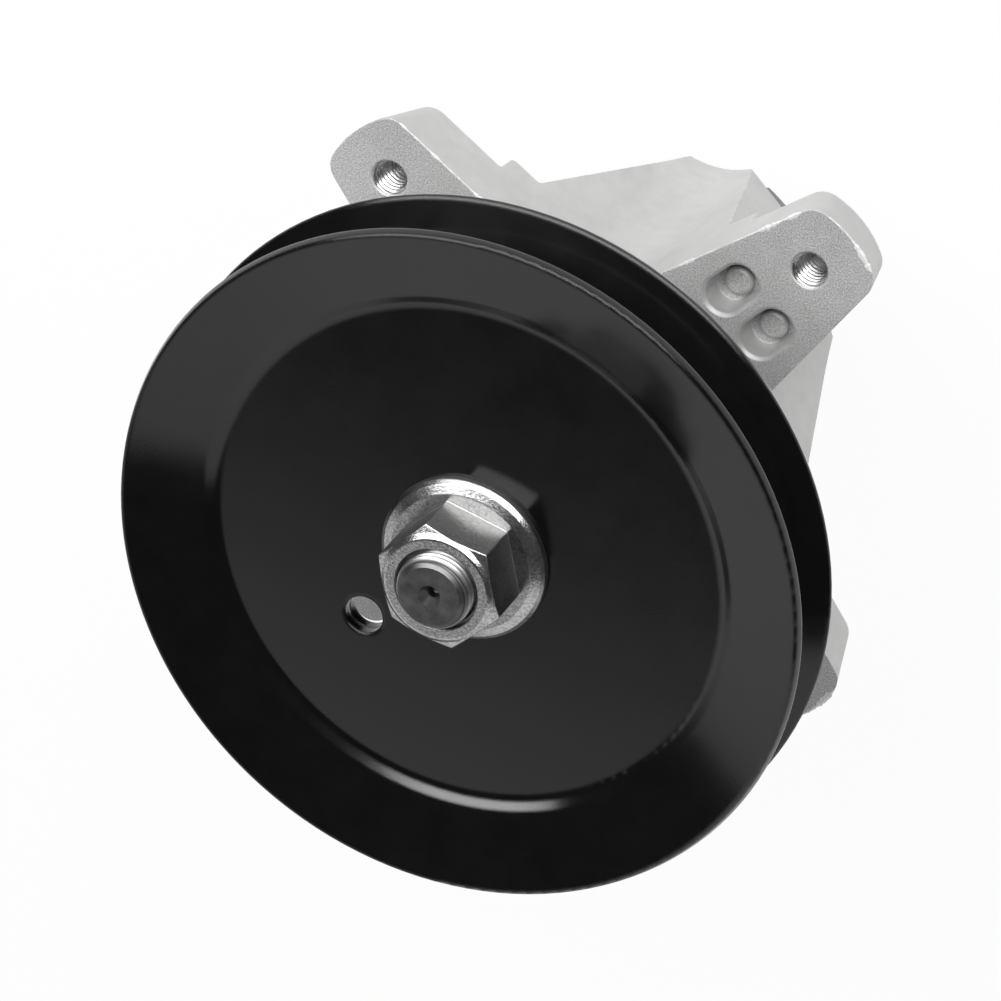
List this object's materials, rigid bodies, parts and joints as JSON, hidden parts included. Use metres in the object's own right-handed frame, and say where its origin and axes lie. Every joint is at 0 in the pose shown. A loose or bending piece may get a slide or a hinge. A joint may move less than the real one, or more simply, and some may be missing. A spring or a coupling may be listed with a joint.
{
  "type": "mower deck spindle",
  "caption": "Ride-on mower blade spindle: a cast body with ribbed ears and ball bearings carries a shaft that a V-belt pulley drives and a star seat hands on to the blade.",
  "frame": {"origin": "on the spindle axis, in the plane of the four ear faces that meet the underside of the deck", "axes": "+Z along the spindle axis towards the pulley's nut; the four tapped holes lie on a square with its sides along X and Y"},
  "size_m": [0.1474, 0.1474, 0.19],
  "materials": {
    "cast_aluminium": "as cast",
    "shaft_steel": "turned",
    "black_paint": "gloss",
    "zinc_plate": "bright zinc",
    "shield_steel": "pressed, satin",
    "bearing_steel": "ground",
    "cage_plastic": "matt",
    "seal_rubber": "matt"
  },
  "bodies": {
    "body": {"housing": "cast_aluminium", "upper_bearing_outer_ring": "bearing_steel", "upper_bearing_top_seal": "seal_rubber", "upper_bearing_bottom_seal": "seal_rubber", "lower_bearing_outer_ring": "bearing_steel", "lower_bearing_top_seal": "seal_rubber", "lower_bearing_bottom_seal": "seal_rubber"},
    "rotor": {"shaft": "shaft_steel", "bearing_spacer": "shaft_steel", "pulley_hub": "shaft_steel", "pulley_upper_sheave": "black_paint", "pulley_lower_sheave": "black_paint", "pulley_nut": "zinc_plate", "blade_nut": "zinc_plate", "upper_dust_shield": "shield_steel", "lower_dust_shield": "shield_steel", "upper_bearing_inner_ring": "bearing_steel", "lower_bearing_inner_ring": "bearing_steel"},
    "upper_balls": {"upper_bearing_balls": "bearing_steel", "upper_bearing_cage": "cage_plastic"},
    "lower_balls": {"lower_bearing_balls": "bearing_steel", "lower_bearing_cage": "cage_plastic"}
  },
  "joints": [
    {"name": "rotor_spin", "type": "hinge", "parent": "body", "child": "rotor", "pos_m": [0, 0, 0.0365], "axis": [0, 0, 1], "continuous": true},
    {"name": "upper_balls_spin", "type": "hinge", "parent": "body", "child": "upper_balls", "pos_m": [0, 0, 0.0365], "axis": [0, 0, 1], "continuous": true},
    {"name": "lower_balls_spin", "type": "hinge", "parent": "body", "child": "lower_balls", "pos_m": [0, 0, -0.0685], "axis": [0, 0, 1], "continuous": true}
  ],
  "couplings": [
    {"joint": "upper_balls_spin", "follows": "rotor_spin", "ratio": 0.3816},
    {"joint": "lower_balls_spin", "follows": "rotor_spin", "ratio": 0.3816}
  ]
}
